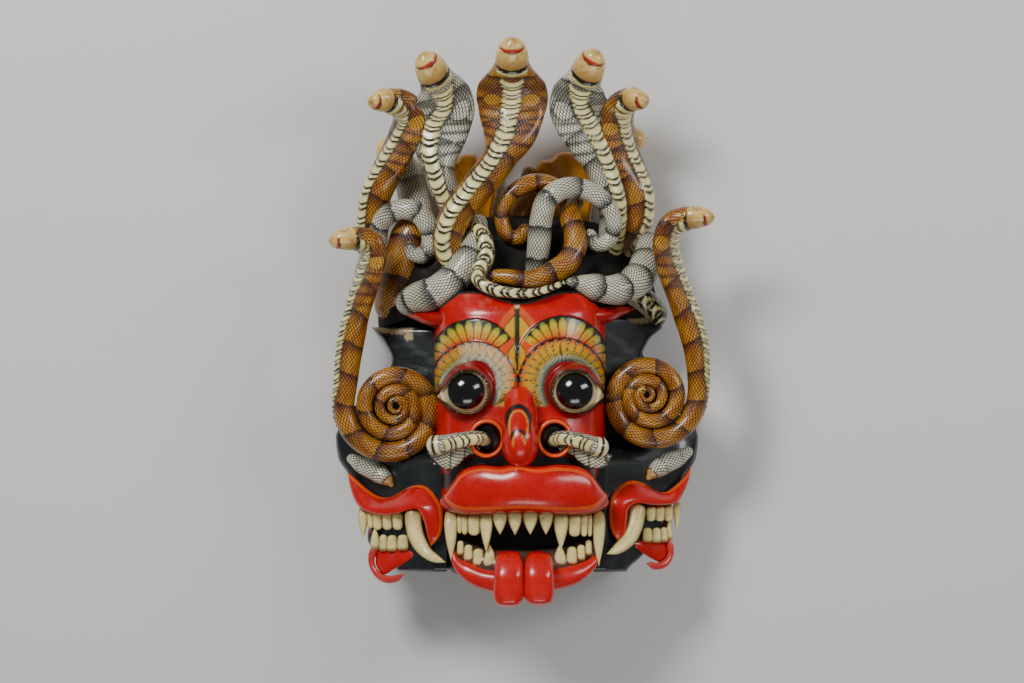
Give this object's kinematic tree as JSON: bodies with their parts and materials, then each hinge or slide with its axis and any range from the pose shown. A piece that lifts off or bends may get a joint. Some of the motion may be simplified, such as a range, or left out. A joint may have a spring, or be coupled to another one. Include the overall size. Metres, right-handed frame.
{
  "type": "carved cobra demon mask",
  "caption": "Large carved and painted wooden demon mask with a crown of cobras and a coiled cobra for each ear, hollow behind, lying on its back.",
  "frame": {"origin": "on the ground under the middle of the mask as it lies on its back, between its sides and between the tongue and the top of the crown", "axes": "+X to the right as one looks at the face, +Y from the chin up to the crown, +Z out of the face, away from the wearer"},
  "size_m": [0.3838, 0.5644, 0.1958],
  "materials": {
    "face_paint": "carved light wood in gloss red, black, cream and yellow paint",
    "crown_paint": "carved light wood in gloss ochre and off-white scales with cream belly plates",
    "ear_paint": "carved light wood in gloss ochre scales with cream belly plates"
  },
  "bodies": {
    "root": {"mask_head": "face_paint", "cobra_crown": "crown_paint", "left_ear_cobra": "ear_paint", "right_ear_cobra": "ear_paint"}
  },
  "joints": []
}
